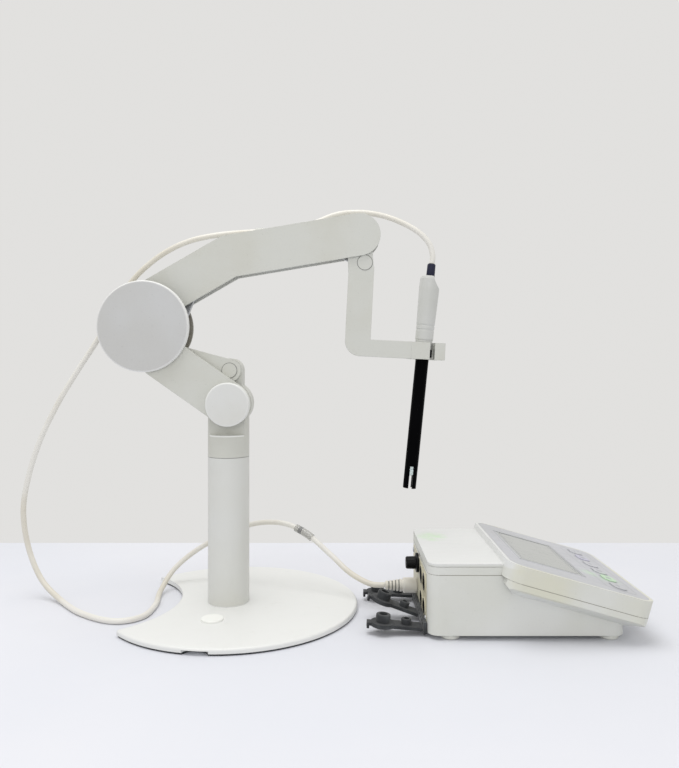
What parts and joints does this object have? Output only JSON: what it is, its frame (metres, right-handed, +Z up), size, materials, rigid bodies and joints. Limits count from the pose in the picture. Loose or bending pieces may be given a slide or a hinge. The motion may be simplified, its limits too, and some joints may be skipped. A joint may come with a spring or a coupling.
{
  "type": "ph meter",
  "caption": "Bench pH meter: wedge console with display and keys, swivelling double-link electrode arm on a round base, combination electrode and lead.",
  "frame": {"origin": "on the bench, under the axis of the stand's post, on the underside of the base's rubber sheet", "axes": "+Z up along the post; +X from the post towards the console; +Y towards the back, away from the arm's tension knob"},
  "size_m": [0.5508, 0.223, 0.364],
  "materials": {
    "stand_paint": "satin powder coat, light warm grey",
    "arm_plastic": "fine matt moulded surface",
    "disc_plastic": "fine matt moulded surface, cooler grey",
    "back_plastic": "darker warm grey, fine matt moulded surface",
    "knob_white": "satin white, fine matt face",
    "steel": "turned and zinc plated",
    "dark_rubber": "matt soft rubber, dark grey",
    "electrode_black": "black plastic shaft, slight sheen",
    "sensor_glass": "thin clear glass",
    "head_white": "satin white",
    "navy_boot": "matt navy",
    "lead_ivory": "soft ivory sheath",
    "case_plastic": "off-white, fine spark texture, yellowed along the panel's rim",
    "panel_grey": "matt polyester film, cool grey",
    "key_green": "matt film, green",
    "key_blue": "matt film, grey blue",
    "lcd_glass": "smoked clear window",
    "lcd_body": "display glass in its frame",
    "circuit_board": "green solder resist",
    "silicone": "milky silicone",
    "rear_ivory": "ivory moulded panel",
    "black_plastic": "black moulded plastic",
    "foot_rubber": "pale grey rubber"
  },
  "bodies": {
    "stand_and_console": {"base_plate": "stand_paint", "base_pad": "dark_rubber", "base_plug": "knob_white", "post": "stand_paint", "post_bolt": "steel", "swivel_bush": "dark_rubber", "lead_bench": "lead_ivory", "lead_plug": "lead_ivory", "plug_relief": "lead_ivory", "lower_case": "case_plastic", "upper_case": "case_plastic", "keypad_overlay": "panel_grey", "lcd_window": "lcd_glass", "lcd_module": "lcd_body", "display_board": "circuit_board", "keypad_mat": "silicone", "main_board": "circuit_board", "rear_panel": "rear_ivory", "rear_sockets": "black_plastic", "case_feet": "foot_rubber", "case_screws": "steel", "flap_strip": "dark_rubber"},
    "swivel": {"swivel_head": "arm_plastic", "swivel_spindle": "steel", "knob_bolt": "steel", "friction_washer": "dark_rubber", "link_pin": "arm_plastic", "lead_drop": "lead_ivory"},
    "lower_arm": {"lower_arm": "arm_plastic"},
    "lower_link": {"lower_link": "arm_plastic"},
    "knob": {"tension_knob": "knob_white"},
    "elbow": {"elbow_disc": "disc_plastic", "elbow_back": "back_plastic", "elbow_pins": "steel"},
    "upper_arm": {"upper_arm": "arm_plastic", "wrist_pin": "steel", "lead_clips": "arm_plastic", "lead_top": "lead_ivory"},
    "upper_link": {"upper_link": "steel"},
    "holder": {"holder_bracket": "arm_plastic", "holder_clip": "arm_plastic", "level_pin": "arm_plastic"},
    "electrode": {"electrode_shaft": "electrode_black", "glass_bulb": "sensor_glass", "electrode_head": "head_white", "head_insert": "navy_boot", "cable_boot": "navy_boot"},
    "bnc_cap": {"bnc_cap": "black_plastic"},
    "flap_1": {"flap_1": "dark_rubber"},
    "flap_2": {"flap_2": "dark_rubber"},
    "flap_3": {"flap_3": "dark_rubber"},
    "key_1": {"key_1": "panel_grey"},
    "key_2": {"key_2": "key_green"},
    "key_3": {"key_3": "panel_grey"},
    "key_4": {"key_4": "panel_grey"},
    "key_5": {"key_5": "key_blue"},
    "key_6": {"key_6": "panel_grey"}
  },
  "joints": [
    {"name": "stand_swivel", "type": "hinge", "parent": "stand_and_console", "child": "swivel", "pos_m": [0, 0, 0.137], "axis": [0, 0, 1], "range_deg": [-45, 45], "deforming": ["lead_top", "lead_drop", "lead_bench"]},
    {"name": "lower_arm_lift", "type": "hinge", "parent": "swivel", "child": "lower_arm", "pos_m": [0.0025, -0.01675, 0.185], "axis": [0, 1, 0], "range_deg": [-15, 35], "deforming": ["lead_top", "lead_drop", "lead_bench"]},
    {"name": "lower_link_lift", "type": "hinge", "parent": "swivel", "child": "lower_link", "pos_m": [0.0025, -0.01145, 0.2148], "axis": [0, 1, 0], "range_deg": [-15, 35]},
    {"name": "elbow_level", "type": "hinge", "parent": "lower_arm", "child": "elbow", "pos_m": [-0.0717, -0.01675, 0.2238], "axis": [0, 1, 0], "range_deg": [-35, 15], "deforming": ["lead_top", "lead_drop", "lead_bench"]},
    {"name": "upper_arm_lift", "type": "hinge", "parent": "elbow", "child": "upper_arm", "pos_m": [-0.0717, 0, 0.2536], "axis": [0, 1, 0], "range_deg": [-15, 10], "deforming": ["lead_top", "lead_drop", "lead_bench"]},
    {"name": "upper_link_lift", "type": "hinge", "parent": "elbow", "child": "upper_link", "pos_m": [-0.0667, 0.0029, 0.2286], "axis": [0, 1, 0], "range_deg": [-15, 10]},
    {"name": "holder_level", "type": "hinge", "parent": "upper_arm", "child": "holder", "pos_m": [0.1186, 0, 0.337], "axis": [0, 1, 0], "range_deg": [-10, 15], "deforming": ["lead_top", "lead_drop", "lead_bench"]},
    {"name": "electrode_lift", "type": "slide", "parent": "holder", "child": "electrode", "axis": [0.0993, 0, 0.9951], "range_m": [0, 0.02], "deforming": ["lead_top", "lead_drop", "lead_bench"]},
    {"name": "tension_knob_turn", "type": "hinge", "parent": "swivel", "child": "knob", "pos_m": [0.0025, -0.02365, 0.185], "axis": [0, -1, 0], "range_deg": [-90, 90]},
    {"name": "bnc_cap_pull", "type": "slide", "parent": "stand_and_console", "child": "bnc_cap", "axis": [-1, 0, 0], "range_m": [0, 0.015]},
    {"name": "flap_1_bend", "type": "hinge", "parent": "stand_and_console", "child": "flap_1", "pos_m": [0.1669, -0.065, 0.0055], "axis": [0, 1, 0], "range_deg": [0, 60], "stiffness_Nm_per_rad": 0.02},
    {"name": "flap_2_bend", "type": "hinge", "parent": "stand_and_console", "child": "flap_2", "pos_m": [0.1669, -0.031, 0.0055], "axis": [0, 1, 0], "range_deg": [0, 45], "stiffness_Nm_per_rad": 0.02},
    {"name": "flap_3_bend", "type": "hinge", "parent": "stand_and_console", "child": "flap_3", "pos_m": [0.1669, 0.019, 0.0055], "axis": [0, 1, 0], "range_deg": [0, 60], "stiffness_Nm_per_rad": 0.02},
    {"name": "key_1_press", "type": "slide", "parent": "stand_and_console", "child": "key_1", "axis": [-0.2689, 0, -0.9632], "range_m": [0, 0.0007], "stiffness_N_per_m": 400},
    {"name": "key_2_press", "type": "slide", "parent": "stand_and_console", "child": "key_2", "axis": [-0.2689, 0, -0.9632], "range_m": [0, 0.0007], "stiffness_N_per_m": 400},
    {"name": "key_3_press", "type": "slide", "parent": "stand_and_console", "child": "key_3", "axis": [-0.2689, 0, -0.9632], "range_m": [0, 0.0007], "stiffness_N_per_m": 400},
    {"name": "key_4_press", "type": "slide", "parent": "stand_and_console", "child": "key_4", "axis": [-0.2689, 0, -0.9632], "range_m": [0, 0.0007], "stiffness_N_per_m": 400},
    {"name": "key_5_press", "type": "slide", "parent": "stand_and_console", "child": "key_5", "axis": [-0.2689, 0, -0.9632], "range_m": [0, 0.0007], "stiffness_N_per_m": 400},
    {"name": "key_6_press", "type": "slide", "parent": "stand_and_console", "child": "key_6", "axis": [-0.2689, 0, -0.9632], "range_m": [0, 0.0007], "stiffness_N_per_m": 400}
  ],
  "couplings": [
    {"joint": "lower_link_lift", "follows": "lower_arm_lift", "ratio": 1},
    {"joint": "elbow_level", "follows": "lower_arm_lift", "ratio": -1},
    {"joint": "upper_link_lift", "follows": "upper_arm_lift", "ratio": 1},
    {"joint": "holder_level", "follows": "upper_arm_lift", "ratio": -1}
  ]
}
